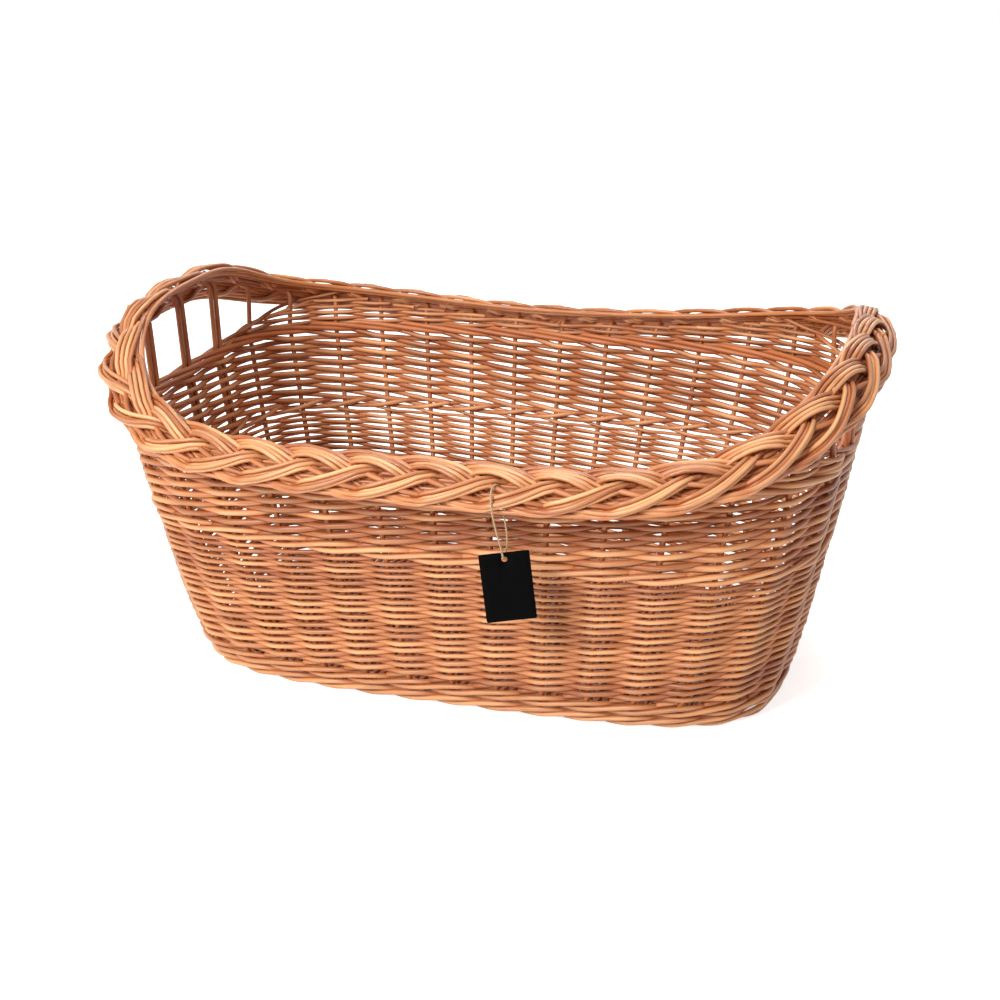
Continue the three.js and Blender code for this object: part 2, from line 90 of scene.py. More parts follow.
def linear(hex_colour):
    """Scene-linear colour of an sRGB hex value, each channel through the sRGB curve."""
    channels = [int(hex_colour[i:i + 2], 16) / 255 for i in (1, 3, 5)]
    return [c / 12.92 if c <= 0.04045 else ((c + 0.055) / 1.055) ** 2.4 for c in channels] + [1.0]


def add_node(tree, kind, links=None, **settings):
    """Adds a node, sets its properties, and joins or sets its sockets by name or number."""
    node = tree.nodes.new(kind)
    for name, value in settings.items():
        setattr(node, name, value)
    for name, value in (links or {}).items():
        if isinstance(value, bpy.types.NodeSocket):
            tree.links.new(value, node.inputs[name])
        else:
            node.inputs[name].default_value = value
    return node


def new_material(name):
    """An empty material with its output node, as (material, tree, output)."""
    material = bpy.data.materials.new(name)
    material.use_nodes = True
    tree = material.node_tree
    tree.nodes.clear()
    return material, tree, tree.nodes.new("ShaderNodeOutputMaterial")


def unit(vectors):
    """Each vector divided by its length."""
    return vectors / np.maximum(np.linalg.norm(vectors, axis=-1, keepdims=True), 1e-12)


def add_mesh(name, points, quads, caps, attributes, material, body):
    """Makes a smooth mesh of points in mm from quads and many-sided caps, with point attributes."""
    mesh = bpy.data.meshes.new(name)
    loops = np.concatenate([quads.ravel(), caps.ravel()])
    quad_starts = np.arange(len(quads)) * 4
    cap_starts = len(quads) * 4 + np.arange(len(caps)) * caps.shape[1]
    mesh.vertices.add(len(points))
    mesh.vertices.foreach_set("co", (points * MM).astype(np.float32).ravel())
    mesh.loops.add(len(loops))
    mesh.loops.foreach_set("vertex_index", loops.astype(np.int32))
    mesh.polygons.add(len(quads) + len(caps))
    mesh.polygons.foreach_set("loop_start", np.concatenate([quad_starts, cap_starts]).astype(np.int32))
    mesh.polygons.foreach_set("use_smooth", np.arange(len(quads) + len(caps)) < len(quads))
    mesh.update(calc_edges=True)
    for key, values in attributes.items():
        vector = values.ndim == 2
        layer = mesh.attributes.new(key, "FLOAT_VECTOR" if vector else "FLOAT", "POINT")
        layer.data.foreach_set("vector" if vector else "value", values.astype(np.float32).ravel())
    mesh.materials.append(material)
    piece = bpy.data.objects.new(name, mesh)
    bpy.context.scene.collection.objects.link(piece)
    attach(piece, body)
    return piece


# How far one rod starts from the next in rod space, so that no two show the same grain
ROD_SPACE_APART = 1700.0


def rod_surface(lines, radii, facing, sides, lobes=None):
    """Rods as closed tubes.

    lines is rods x steps x 3, radii rods x steps, and facing a vector that the first side looks
    along. A ring's point is the line plus radius times (cos a facing + sin a side), where side is
    the way along the rod crossed with facing. The ends are flat caps. Rod space is the straightened
    rod: the distance along it, and the ring's own two coordinates, all in metres.
    """
    rods, steps = radii.shape
    way = unit(np.gradient(lines, axis=1))
    out = unit(facing - (facing * way).sum(-1, keepdims=True) * way)
    side = np.cross(way, out)
    angle = np.arange(sides) / sides * 2 * math.pi
    reach = radii[:, :, None] * (np.ones((rods, steps, sides)) if lobes is None else lobes)
    a, b = reach * np.cos(angle), reach * np.sin(angle)
    points = lines[:, :, None] + a[..., None] * out[:, :, None] + b[..., None] * side[:, :, None]
    run = np.zeros((rods, steps))
    run[:, 1:] = np.cumsum(np.linalg.norm(np.diff(lines, axis=1), axis=-1), axis=1)
    along = run + ROD_SPACE_APART * np.arange(rods)[:, None]
    space = np.stack([np.broadcast_to(along[..., None], a.shape), a, b], -1) * MM
    index = np.arange(rods * steps * sides).reshape(rods, steps, sides)
    ahead = np.roll(index, -1, axis=2)
    quads = np.stack([index[:, :-1], ahead[:, :-1], ahead[:, 1:], index[:, 1:]], -1).reshape(-1, 4)
    caps = np.concatenate([index[:, 0, ::-1], index[:, -1]])
    return points.reshape(-1, 3), quads, caps, space.reshape(-1, 3)


def catmull_rom(knots, count):
    """Smooth line through knots: cubic pieces whose slope at a knot is half of its neighbours' step."""
    p = np.asarray(knots, float)
    p = np.vstack([2 * p[0] - p[1], p, 2 * p[-1] - p[-2]])
    t = np.linspace(0, len(knots) - 1, count)
    i = np.minimum(t.astype(int), len(knots) - 2)
    u = (t - i)[:, None]
    before, here, ahead, after = p[i], p[i + 1], p[i + 2], p[i + 3]
    cubic = 3 * here - before - 3 * ahead + after
    square = 2 * before - 5 * here + 4 * ahead - after
    return here + 0.5 * u * (ahead - before + u * (square + u * cubic))


# Jute: dull, pale tan fibres, streaked along each ply, with no gloss
JUTE_FIBRES = (300, 3000, 3000)


def jute_material():
    """Fibre streaks run along the twine and are stretched ten times in that direction. The grooves
    between the plies are painted darker, as painted shade.
    """
    material, tree, output = new_material("two_ply_jute_twine")
    space = add_node(tree, "ShaderNodeAttribute", attribute_name="rod_space").outputs["Vector"]
    stretched = add_node(tree, "ShaderNodeVectorMath", {0: space, 1: JUTE_FIBRES}, operation="MULTIPLY")
    fibres = add_node(tree, "ShaderNodeTexNoise", {"Vector": stretched.outputs[0], "Scale": 1, "Detail": 3})
    # Crown is lowest in the groove between the plies, so the groove gets the dark colour: painted shade
    painted_groove_shade = add_node(tree, "ShaderNodeAttribute", attribute_name="crown").outputs["Fac"]
    shade = add_node(tree, "ShaderNodeMath", {0: fibres.outputs["Fac"], 1: painted_groove_shade}, operation="MULTIPLY")
    spread = add_node(tree, "ShaderNodeMapRange", {
        "Value": shade.outputs[0], "From Min": 0.1, "From Max": 0.6})
    colour = add_node(tree, "ShaderNodeMix", {
        0: spread.outputs[0], 6: linear(TWINE_DARK), 7: linear(TWINE_PALE)}, data_type="RGBA")
    bump = add_node(tree, "ShaderNodeBump", {
        "Height": fibres.outputs["Fac"], "Strength": 0.8, "Distance": 0.0003})
    shader = add_node(tree, "ShaderNodeBsdfPrincipled", {
        "Base Color": colour.outputs[2], "Roughness": 0.9, "Sheen Weight": 0.3, "Normal": bump.outputs[0]})
    tree.links.new(shader.outputs[0], output.inputs["Surface"])
    return material


jute = jute_material()
twine_line = np.array([[TWINE_BAR[0] + a, TWINE_BAR[1] - o, TWINE_BAR[2] + u] for a, o, u in TWINE_ROUTE])
twine_line = catmull_rom(twine_line, TWINE_STEPS)
twine_length = np.linalg.norm(np.diff(twine_line, axis=0), axis=1).sum()
twine_run = np.linspace(0, twine_length, TWINE_STEPS)
# Two round plies lie side by side, so the outline is widest across both and turns as it goes
twine_side = np.arange(TWINE_SIDES) / TWINE_SIDES * 2 * math.pi
twine_turn = 2 * math.pi * twine_run[:, None] / TWINE_PLY_TURN - twine_side
twine_lobes = 1 - TWINE_GROOVE + TWINE_GROOVE * np.abs(np.cos(twine_turn))
twine_points, twine_quads, twine_caps, twine_space = rod_surface(
    twine_line[None],
    np.full((1, TWINE_STEPS), TWINE_DIAMETER / 2),
    np.broadcast_to([1.0, 0.3, 0.0], (1, TWINE_STEPS, 3)),
    TWINE_SIDES,
    twine_lobes[None],
)
# The crown attribute is lowest in the grooves between the plies, where the material paints shade
twine = add_mesh(
    "jute_twine_loop", twine_points, twine_quads, twine_caps,
    {"rod_space": twine_space, "crown": twine_lobes.ravel() ** 2}, jute, "tag",
)

# Loose fibres that stand off the twine
chance = np.random.default_rng(11)
hair_root = twine_line[chance.integers(4, TWINE_STEPS - 4, TWINE_HAIRS)]
hair_way = unit(chance.normal(size=(TWINE_HAIRS, 3)))
hair_curl = unit(chance.normal(size=(TWINE_HAIRS, 3))) * TWINE_HAIR_CURL
hair_reach = np.linspace(0.25, 1, TWINE_HAIR_STEPS)[None, :, None] * TWINE_HAIR_LENGTH
hair_size = chance.uniform(TWINE_HAIR_LEAST, 1.0, (TWINE_HAIRS, 1, 1))
hair_bend = hair_way[:, None] + hair_curl[:, None] * hair_reach / 4
hairs = hair_root[:, None] + hair_size * hair_reach * hair_bend
hair_points, hair_quads, hair_caps, hair_space = rod_surface(
    hairs, np.full((TWINE_HAIRS, TWINE_HAIR_STEPS), TWINE_HAIR_RADIUS),
    np.broadcast_to([0.1, 0.2, 1.0], hairs.shape), 3)
twine_hairs = add_mesh(
    "jute_twine_hairs", hair_points, hair_quads, hair_caps,
    {"rod_space": hair_space, "crown": np.ones(len(hair_points))}, jute, "tag",
)
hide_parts("tag_twine")


# Tag: a bare card of black board, punched for the twine, that hangs a little turned and tilted.
# It is cut from smooth uncoated board, so it is nearly matt, and its sides bow back a little.
TAG_WIDTH = 39.0
TAG_HEIGHT = 57.0
TAG_THICKNESS = 0.7
TAG_HOLE_RADIUS = 2.3
TAG_HOLE_EDGE = 5.5
TAG_CORNER = 1.2
TAG_TURN = math.radians(15.7)
TAG_TILT = math.radians(6.7)
TAG_HOLE_PLACE = (8.0, 0.0, -50.2)
TAG_BOW = 0.36
TAG_EDGE_ROUNDING = 0.3
TAG_RAYS = 60
TAG_CORNER_RAYS = 7
TAG_CORNER_SPREAD = 0.05
TAG_BLACK = "#020202"
TAG_WORN = "#080708"


# Black board: dyed paper fibres, faintly mottled, with a soft sheen at a low angle
def card_material():
    """Fine paper grain of about half a millimetre, over slow patches of wear."""
    material, tree, output = new_material("black_paper_board")
    place = add_node(tree, "ShaderNodeTexCoord").outputs["Object"]
    grain = add_node(tree, "ShaderNodeTexNoise", {"Vector": place, "Scale": 2200, "Detail": 4})
    patches = add_node(tree, "ShaderNodeTexNoise", {"Vector": place, "Scale": 90, "Detail": 3})
    mottle = add_node(tree, "ShaderNodeMath", {
        0: grain.outputs["Fac"], 1: patches.outputs["Fac"]}, operation="MULTIPLY")
    colour = add_node(tree, "ShaderNodeMix", {
        0: mottle.outputs[0], 6: linear(TAG_BLACK), 7: linear(TAG_WORN)}, data_type="RGBA")
    rough = add_node(tree, "ShaderNodeMapRange", {
        "Value": patches.outputs["Fac"], "To Min": 0.6, "To Max": 0.8})
    bump = add_node(tree, "ShaderNodeBump", {
        "Height": grain.outputs["Fac"], "Strength": 0.35, "Distance": 0.0001})
    shader = add_node(tree, "ShaderNodeBsdfPrincipled", {
        "Base Color": colour.outputs[2], "Roughness": rough.outputs[0], "Specular IOR Level": 0.04,
        "Normal": bump.outputs[0]})
    tree.links.new(shader.outputs[0], output.inputs["Surface"])
    return material


def card_outline(turns):
    """Rounded oblong of the card round its hole's centre, met by rays at the given angles."""
    half = TAG_WIDTH / 2
    low, high = TAG_HOLE_EDGE - TAG_HEIGHT, TAG_HOLE_EDGE
    ray = np.stack([np.cos(turns), np.sin(turns)], -1)
    to_side = half / np.maximum(np.abs(ray[:, 0]), 1e-9)
    to_end = np.where(ray[:, 1] > 0, high, -low) / np.maximum(np.abs(ray[:, 1]), 1e-9)
    edge = ray * np.minimum(to_side, to_end)[:, None]
    centre = np.stack([np.clip(edge[:, 0], TAG_CORNER - half, half - TAG_CORNER),
                       np.clip(edge[:, 1], low + TAG_CORNER, high - TAG_CORNER)], -1)
    away = edge - centre
    shorten = np.minimum(1, TAG_CORNER / np.maximum(np.linalg.norm(away, axis=1), 1e-9))
    return centre + away * shorten[:, None]


card_corners = [math.atan2(y, x) for x in (-TAG_WIDTH / 2, TAG_WIDTH / 2)
                for y in (TAG_HOLE_EDGE, TAG_HOLE_EDGE - TAG_HEIGHT)]
near_corner = np.linspace(-TAG_CORNER_SPREAD, TAG_CORNER_SPREAD, TAG_CORNER_RAYS)
card_turns = np.sort(np.concatenate(
    [np.linspace(-math.pi, math.pi, TAG_RAYS, endpoint=False)] + [c + near_corner for c in card_corners]))
card_edge = card_outline(card_turns)
card_hole = TAG_HOLE_RADIUS * np.stack([np.cos(card_turns), np.sin(card_turns)], -1)
# Rings from the hole's edge at the back, out to the rim and back again in front, closed into a loop
card_rounding = TAG_THICKNESS * TAG_EDGE_ROUNDING
card_rings = []
for share, depth, inset in (
    (0, -0.5, 0), (0.35, -0.5, 0), (0.7, -0.5, 0), (1, -0.5, 1), (1, -0.2, 0),
    (1, 0.2, 0), (1, 0.5, 1), (0.7, 0.5, 0), (0.35, 0.5, 0), (0, 0.5, 0),
):
    to_edge = card_edge - card_hole
    flat = card_hole + share * to_edge - inset * card_rounding * unit(to_edge)
    bow = TAG_BOW * (flat[:, 0] / (TAG_WIDTH / 2)) ** 2
    card_rings.append(np.stack([flat[:, 0], depth * TAG_THICKNESS - bow, flat[:, 1]], -1))
card_flat = np.stack(card_rings)
tilt = np.array([
    [math.cos(TAG_TILT), 0, math.sin(TAG_TILT)],
    [0, 1, 0],
    [-math.sin(TAG_TILT), 0, math.cos(TAG_TILT)],
])
turn = np.array([
    [math.cos(TAG_TURN), -math.sin(TAG_TURN), 0],
    [math.sin(TAG_TURN), math.cos(TAG_TURN), 0],
    [0, 0, 1],
])
card_points = card_flat.reshape(-1, 3) @ tilt @ turn.T + np.array(TWINE_BAR) + np.array(TAG_HOLE_PLACE)
card_index = np.arange(card_points.shape[0]).reshape(len(card_rings), -1)
card_next = np.roll(card_index, -1, axis=1)
card_quads = np.stack(
    [card_index, np.roll(card_index, -1, axis=0), np.roll(card_next, -1, axis=0), card_next], -1)
card = add_mesh(
    "blank_tag_card", card_points, card_quads.reshape(-1, 4), np.zeros((0, 4), int), {},
    card_material(), "tag",
)
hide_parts("tag_card")


# Stakes: thirty-six upright willow rods on an oval that flares as it rises, wider apart behind the
# hands, where the middle three have a bye-stake beside them and a little further out. They start in
# the base and bend over into the border.
STAKES = 36
FOOT_PLAN = (256.5, 147.0, 4.1)
RIM_PLAN = (309.5, 215.0, 4.0)
FLARE_POWER = 0.72
SIDING_TOP = 238.0
CHORD_SHARE = 0.3
END_SPREAD = 0.45
END_REACH = 0.062
STAKE_RADIUS = 2.5
STAKE_TAPER = (1.08, 0.8)
STAKE_WANDER = 0.5
STAKE_STEPS = 120
STAKE_TAIL = (-24.5, -5.0)
STAKE_HEIGHTS = (14, 33, 80, 150, 200, 236.0)
STAKE_SMOOTHING_STEPS = 600
BYE_STAKE_APART = 4.7
BYE_STAKE_OUTSIDE = 2.6
DOUBLED_FULLER = 1.05
BASE_MIDDLE = 8.5
BORDER_PLAN = (318.0, 239.5, 3.2)
BORDER_BACK_HEIGHT = 244.0
BORDER_BACK_CLIMB = 37.0
BORDER_BACK_SLANT = 4.0
BORDER_BACK_POWER = 20
BORDER_FRONT_HEIGHT = 234.0
BORDER_FRONT_POWERS = (6.2, 4.6)
BORDER_END_HEIGHT = 304.0
BORDER_LEAN = math.radians(45)
WILLOW_BEND = 9.0
OVAL_STEPS = 4800
SHARE_STEPS = 3600
PLAN_STEPS = 1440
WALL_LEVELS = 25


def oval(plan, count):
    """A superellipse at equal steps of its perimeter, from +X counter-clockwise, with its outward normals."""
    half_length, half_width, squareness = plan
    turn = np.linspace(0, 2 * math.pi, OVAL_STEPS + 1)
    c, s = np.cos(turn), np.sin(turn)
    line = np.stack([half_length * np.sign(c) * np.abs(c) ** (2 / squareness),
                     half_width * np.sign(s) * np.abs(s) ** (2 / squareness)], -1)
    run = np.concatenate([[0], np.cumsum(np.linalg.norm(np.diff(line, axis=0), axis=1))])
    wanted = np.arange(count) / count * run[-1]
    even = np.stack([np.interp(wanted, run, line[:, i]) for i in (0, 1)], -1)
    way = unit(np.roll(even, -3, axis=0) - np.roll(even, 3, axis=0))
    return even, np.stack([way[:, 1], -way[:, 0]], -1)


# Share of the way round at each stake coordinate, crowded less at the two ends
share_away = np.abs(((np.arange(SHARE_STEPS) + 0.5) / SHARE_STEPS + 0.25) % 0.5 - 0.25)
share_crowding = 1 / (1 + END_SPREAD * np.exp(-(share_away / END_REACH) ** 2))
share_sums = np.concatenate([[0], np.cumsum(share_crowding)])


def share_of(stake):
    """Share of the perimeter at a stake coordinate: the crowding summed up to it."""
    rounds = np.floor(stake / STAKES)
    part = stake / STAKES - rounds
    return rounds + np.interp(part * share_sums[-1], share_sums, np.arange(SHARE_STEPS + 1) / SHARE_STEPS)


wall_heights = np.linspace(0, SIDING_TOP, WALL_LEVELS)
wall_rise = (wall_heights / SIDING_TOP) ** FLARE_POWER
wall_plans = [
    oval([f + (r - f) * rise for f, r in zip(FOOT_PLAN, RIM_PLAN)], PLAN_STEPS) for rise in wall_rise]
wall_lines = np.array([plan for plan, _ in wall_plans])
wall_normals = np.array([normal for _, normal in wall_plans])
border_line, border_normal = oval(BORDER_PLAN, PLAN_STEPS)


def round_table(table, share):
    """Value of a closed table at a share of the way round, straight between its entries."""
    at = (share % 1) * PLAN_STEPS
    low = np.floor(at).astype(int)
    part = (at - low)[..., None]
    return table[low % PLAN_STEPS] * (1 - part) + table[(low + 1) % PLAN_STEPS] * part


def smooth_wall(stake, height, out):
    """A point of the wall: the oval at that height and stake coordinate, moved outwards."""
    share = share_of(stake)
    at = height / SIDING_TOP * (len(wall_heights) - 1)
    low = np.clip(np.floor(at).astype(int), 0, len(wall_heights) - 2)
    part = (at - low)[..., None]
    step = (share % 1) * PLAN_STEPS
    first = np.floor(step).astype(int)
    between = (step - first)[..., None]
    flat = 0
    for level, weight in ((low, 1 - part), (low + 1, part)):
        here, ahead = (
            wall_lines[level, i % PLAN_STEPS] + out[..., None] * wall_normals[level, i % PLAN_STEPS]
            for i in (first, first + 1))
        flat = flat + weight * (here * (1 - between) + ahead * between)
    return np.concatenate([flat, np.asarray(height)[..., None]], -1)


def wall_point(stake, height, out):
    """Rods cut the corner a little from stake to stake: a mix of the oval and its chord."""
    low = np.floor(stake)
    part = (stake - low)[..., None]
    chord = smooth_wall(low, height, out) * (1 - part) + smooth_wall(low + 1, height, out) * part
    return CHORD_SHARE * chord + (1 - CHORD_SHARE) * smooth_wall(stake, height, out)


def outward(stake):
    """Outward direction of the wall at a stake coordinate."""
    flat = round_table(wall_normals[-1], share_of(stake))
    return np.concatenate([flat, np.zeros(flat.shape[:-1] + (1,))], -1)


def border_height(stake):
    """Height of the border's middle. At the back it climbs slowly, with the square of the distance along
    and a little sooner to the right, and then steeply over the hands, with its twentieth power. The
    front climbs late, and latest at the left."""
    place = round_table(border_line, share_of(stake))
    along = np.minimum(np.abs(place[..., 0]) / BORDER_PLAN[0], 1)
    climb = BORDER_BACK_CLIMB + BORDER_BACK_SLANT * np.sign(place[..., 0])
    hump = BORDER_END_HEIGHT - BORDER_BACK_HEIGHT - climb
    back = BORDER_BACK_HEIGHT + climb * along ** 2 + hump * along ** BORDER_BACK_POWER
    power = np.where(place[..., 0] < 0, BORDER_FRONT_POWERS[0], BORDER_FRONT_POWERS[1])
    front = BORDER_FRONT_HEIGHT + (BORDER_END_HEIGHT - BORDER_FRONT_HEIGHT) * along ** power
    return np.where(place[..., 1] > 0, back, front)


def end_share(stake):
    """0 along the sides and 1 over the hands, by the height that the border has reached."""
    reached = (border_height(stake) - BORDER_BACK_HEIGHT) / (BORDER_END_HEIGHT - BORDER_BACK_HEIGHT)
    return np.clip(reached, 0, 1)


def border_direction(stake, across, depth):
    """A way from the border's middle: across its leaning face towards the inner edge, and out of the face."""
    normal = round_table(border_normal, share_of(stake))
    out = depth * math.sin(BORDER_LEAN) - across * math.cos(BORDER_LEAN)
    up = depth * math.cos(BORDER_LEAN) + across * math.sin(BORDER_LEAN)
    return np.concatenate([out[..., None] * normal, up[..., None]], -1)


def border_point(stake, across, depth):
    """The point that this way leads to."""
    middle = round_table(border_line, share_of(stake))
    height = border_height(stake)[..., None]
    return np.concatenate([middle, height], -1) + border_direction(stake, across, depth)


def wobble(rng, rods, stake, size):
    """Slow waves in a rod, the sum of three sines of its stake coordinate with phases of its own."""
    total = np.zeros(np.broadcast_shapes((rods, 1), stake.shape))
    for waves in (0.31, 0.83, 1.9):
        total += np.sin(waves * stake + rng.uniform(0, 2 * math.pi, (rods, 1)))
    return total * size / 3


def add_rods(name, lines, radii, facing, tones, crown, material, sides=8):
    """One piece of many rods. Tone is each rod's own shade, and crown how far it stands out of the
    weave, which counts in full on the sides that look outwards and inwards and not at the flanks. The
    materials paint the crown paler, partly as wear and partly as a painted highlight."""
    points, quads, caps, space = rod_surface(lines, radii, facing, sides)
    rods, steps = radii.shape
    faces = np.abs(np.cos(np.arange(sides) / sides * 2 * math.pi))
    crowns = np.broadcast_to(crown, (rods, steps))[..., None] * faces
    attributes = {
        "rod_space": space,
        "rod_tone": np.broadcast_to(np.asarray(tones)[:, None, None], (rods, steps, sides)).ravel(),
        "crown": crowns.ravel(),
    }
    return add_mesh(name, points, quads, caps, attributes, material, "basket")


# Peeled willow: a smooth reddish-tan rod with fine fibres along it, small leaf scars a few
# centimetres apart, a satin skin, and a paler colour where it stands out of the weave, partly wear
# and partly a painted highlight. The three scales are in cells per metre, along the rod and in the
# two ways across it
WILLOW_FIBRES = (45, 1500, 1500)
WILLOW_MOTTLE = (28, 160, 160)
WILLOW_SCARS = (20, 240, 240)
WILLOW_SHADES = {"From Min": 0.4, "From Max": 1.25}


def willow_material(name, dark, middle, light, rough_least):
    """Colour goes from dark to light by the rod's own tone, slow mottling and fibres along it. The light
    colour is laid on where the crown attribute says the rod stands out: partly wear and partly a
    painted highlight.
    """
    material, tree, output = new_material(name)
    space = add_node(tree, "ShaderNodeAttribute", attribute_name="rod_space").outputs["Vector"]
    tone = add_node(tree, "ShaderNodeAttribute", attribute_name="rod_tone").outputs["Fac"]
    crown = add_node(tree, "ShaderNodeAttribute", attribute_name="crown").outputs["Fac"]
    fibre_space = add_node(tree, "ShaderNodeVectorMath", {0: space, 1: WILLOW_FIBRES}, operation="MULTIPLY")
    fibres = add_node(tree, "ShaderNodeTexNoise", {
        "Vector": fibre_space.outputs[0], "Scale": 1, "Detail": 4, "Roughness": 0.6})
    mottle_space = add_node(tree, "ShaderNodeVectorMath", {0: space, 1: WILLOW_MOTTLE}, operation="MULTIPLY")
    mottle = add_node(tree, "ShaderNodeTexNoise", {"Vector": mottle_space.outputs[0], "Scale": 1, "Detail": 2})
    scar_space = add_node(tree, "ShaderNodeVectorMath", {0: space, 1: WILLOW_SCARS}, operation="MULTIPLY")
    scars = add_node(tree, "ShaderNodeTexVoronoi", {
        "Vector": scar_space.outputs[0], "Scale": 1}, feature="F1")
    scar = add_node(tree, "ShaderNodeMapRange", {
        "Value": scars.outputs["Distance"], "From Min": 0.10, "From Max": 0.22, "To Min": 1, "To Max": 0})
    tone_part = add_node(tree, "ShaderNodeMath", {0: tone, 1: 0.55}, operation="MULTIPLY")
    mottle_part = add_node(tree, "ShaderNodeMath", {
        0: mottle.outputs["Fac"], 1: 0.5, 2: tone_part.outputs[0]}, operation="MULTIPLY_ADD")
    fibre_part = add_node(tree, "ShaderNodeMath", {
        0: fibres.outputs["Fac"], 1: 0.6, 2: mottle_part.outputs[0]}, operation="MULTIPLY_ADD")
    shade = add_node(tree, "ShaderNodeMapRange", {"Value": fibre_part.outputs[0], **WILLOW_SHADES})
    low = add_node(tree, "ShaderNodeMix", {
        0: shade.outputs[0], 6: linear(dark), 7: linear(middle)}, data_type="RGBA")
    # Paler towards the light colour where the rod stands out of the weave: partly wear and partly a painted
    # highlight
    pale_share = add_node(tree, "ShaderNodeMath", {0: shade.outputs[0], 1: crown}, operation="MULTIPLY")
    wear_and_highlight = add_node(tree, "ShaderNodeMix", {
        0: pale_share.outputs[0], 6: low.outputs[2], 7: linear(light)}, data_type="RGBA")
    scar_share = add_node(tree, "ShaderNodeMath", {0: scar.outputs[0], 1: 0.45}, operation="MULTIPLY")
    marked = add_node(tree, "ShaderNodeMix", {
        0: scar_share.outputs[0], 6: wear_and_highlight.outputs[2], 7: linear(dark)}, data_type="RGBA")
    rough = add_node(tree, "ShaderNodeMapRange", {
        "Value": fibre_part.outputs[0], **WILLOW_SHADES,
        "To Min": rough_least, "To Max": rough_least + 0.17})
    relief = add_node(tree, "ShaderNodeMath", {
        0: scar.outputs[0], 1: 0.8, 2: fibres.outputs["Fac"]}, operation="MULTIPLY_ADD")
    bump = add_node(tree, "ShaderNodeBump", {
        "Height": relief.outputs[0], "Strength": 0.55, "Distance": 0.00025})
    shader = add_node(tree, "ShaderNodeBsdfPrincipled", {
        "Base Color": marked.outputs[2], "Roughness": rough.outputs[0], "IOR": 1.5,
        "Normal": bump.outputs[0]})
    tree.links.new(shader.outputs[0], output.inputs["Surface"])
    return material


# The last colour is the pale crown colour: partly wear and partly a painted highlight
stake_willow = willow_material("peeled_willow_stakes", "#8C431E", "#C97642", "#EAA770", 0.37)
chance = np.random.default_rng(23)


def smooth_run(points, length, count):
    """A line through corner points, rounded by averaging over a window of the given length in mm."""
    points = np.asarray(points)
    run = np.concatenate([[0], np.cumsum(np.linalg.norm(np.diff(points, axis=0), axis=1))])
    fine = np.linspace(0, run[-1], STAKE_SMOOTHING_STEPS)
    line = np.stack([np.interp(fine, run, points[:, i]) for i in range(3)], -1)
    window = max(3, int(length / (run[-1] / (STAKE_SMOOTHING_STEPS - 1))) | 1)
    padded = np.pad(line, ((window // 2, window // 2), (0, 0)), "edge")
    kernel = np.hanning(window + 2)[1:-1]
    kernel /= kernel.sum()
    soft = np.stack([np.convolve(padded[:, i], kernel, "valid") for i in range(3)], -1)
    return soft[np.linspace(0, STAKE_SMOOTHING_STEPS - 1, count).astype(int)]


def stake_corners(k, through):
    """Corner points of a stake: its tail in the base, the wall, and the bend into the border. A stake
    goes on through the braid for almost three stakes, while a bye-stake ends in it."""
    stake = np.full(len(STAKE_HEIGHTS), float(k))
    rise = wall_point(stake, np.array(STAKE_HEIGHTS), np.zeros(len(STAKE_HEIGHTS)))
    tail = wall_point(stake[:2], np.full(2, BASE_MIDDLE), np.array(STAKE_TAIL))
    lift = min(1, 2 * end_share(stake[:1])[0])
    # In the border: stakes onwards, and mm across its face and out of it. Over the hands a stake
    # comes up under the border's middle, and elsewhere at its inner edge
    along = np.array([0, 0, 0.08, 0.4, 0.75, 1.1, 1.6, 2.2, 2.8]) if through else np.array([0, 0, 0.05])
    across = np.array([12 - 13 * lift, 5 - 4 * lift, 2.0, -4, -10, -11, -6, 2, 9])[:len(along)]
    depth = np.array([4 * lift - 12, -3.5, 5.0 if through else -1.0, 7.2, 4.6, 0, -1, -1, -1])[:len(along)]
    return np.concatenate([tail, rise, border_point(k + along, across, depth)])


for k in range(STAKES):
    from_end = min(k, STAKES - k, abs(k - STAKES // 2))
    doubled = from_end < 2
    normal = outward(np.array([float(k)]))[0]
    tangent = np.array([-normal[1], normal[0], 0])
    lines = np.array([
        smooth_run(stake_corners(k, i == 0), WILLOW_BEND, STAKE_STEPS) for i in range(1 + doubled)])
    places = np.array([-0.5, 0.5] if doubled else [0.0])[:, None, None]
    wander = wobble(chance, len(lines), np.linspace(0, 6, STAKE_STEPS)[None], STAKE_WANDER)[..., None]
    lines = lines + tangent * (places * BYE_STAKE_APART + wander) + normal * places * BYE_STAKE_OUTSIDE
    radii = np.broadcast_to(np.linspace(*STAKE_TAPER, STAKE_STEPS) * STAKE_RADIUS, lines.shape[:2])
    piece = add_rods(
        f"willow_stake_{k + 1:02d}", lines, radii * (DOUBLED_FULLER if doubled else 1),
        np.broadcast_to(normal, lines.shape), chance.uniform(0.2, 0.8, len(lines)), 0.6,
        stake_willow, 12)
    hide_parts(f"stake_{k + 1:02d}")


# Siding: two bands of randing, thirty-six rods each, one started at every stake. A rod goes in front
# of one stake and behind the next, and climbs a little at each, so the rows slope up to the right.
# Rods thin towards their tips, so the rows lie closer at the top of a band.
SIDING_BANDS = {
    "lower_siding": {"from": 28.5, "to": 150.0, "climb": (4.1, 2.95), "radius": (2.3, 1.7), "seed": 31},
    "upper_siding": {"from": 161.0, "to": 228.0, "climb": (4.6, 4.4), "radius": (2.65, 2.45), "seed": 37},
}
# Points of a rod from one stake to the next
ROD_STEPS = 8
WEAVER_UNEVEN = 0.07
WEAVER_CREASE = 0.95
WEAVER_SKEW = 0.12
# In stakes: a rod starts this far before its own stake, and each end takes this long to tuck in
WEAVER_START = -0.5
WEAVER_TUCK = 0.75
WEAVER_END_SHIFT = 3.5
WEAVER_FIRST_ROW = 1.0
WEAVER_CLIMBED = 0.985
